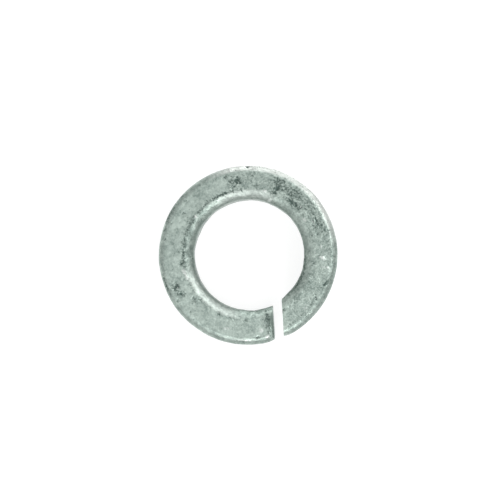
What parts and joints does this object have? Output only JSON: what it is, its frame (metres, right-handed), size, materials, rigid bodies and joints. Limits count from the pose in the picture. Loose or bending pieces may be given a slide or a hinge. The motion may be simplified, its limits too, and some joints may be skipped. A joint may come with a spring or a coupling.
{
  "type": "spring lock washer",
  "caption": "Spring lock washer: one open turn of near-square zinc-coated wire with a slanted split, sprung apart at its ends to hold a bolted joint tight.",
  "frame": {"origin": "on the bore's axis, level with the lowest edge of the low end", "axes": "+Z along the bore's axis towards the high end, -Y through the middle of the split"},
  "size_m": [0.0408, 0.0408, 0.0129],
  "materials": {
    "zinc": "dull hot-dip zinc coat, mottled greenish grey"
  },
  "bodies": {
    "root": {"washer": "zinc"}
  },
  "joints": []
}
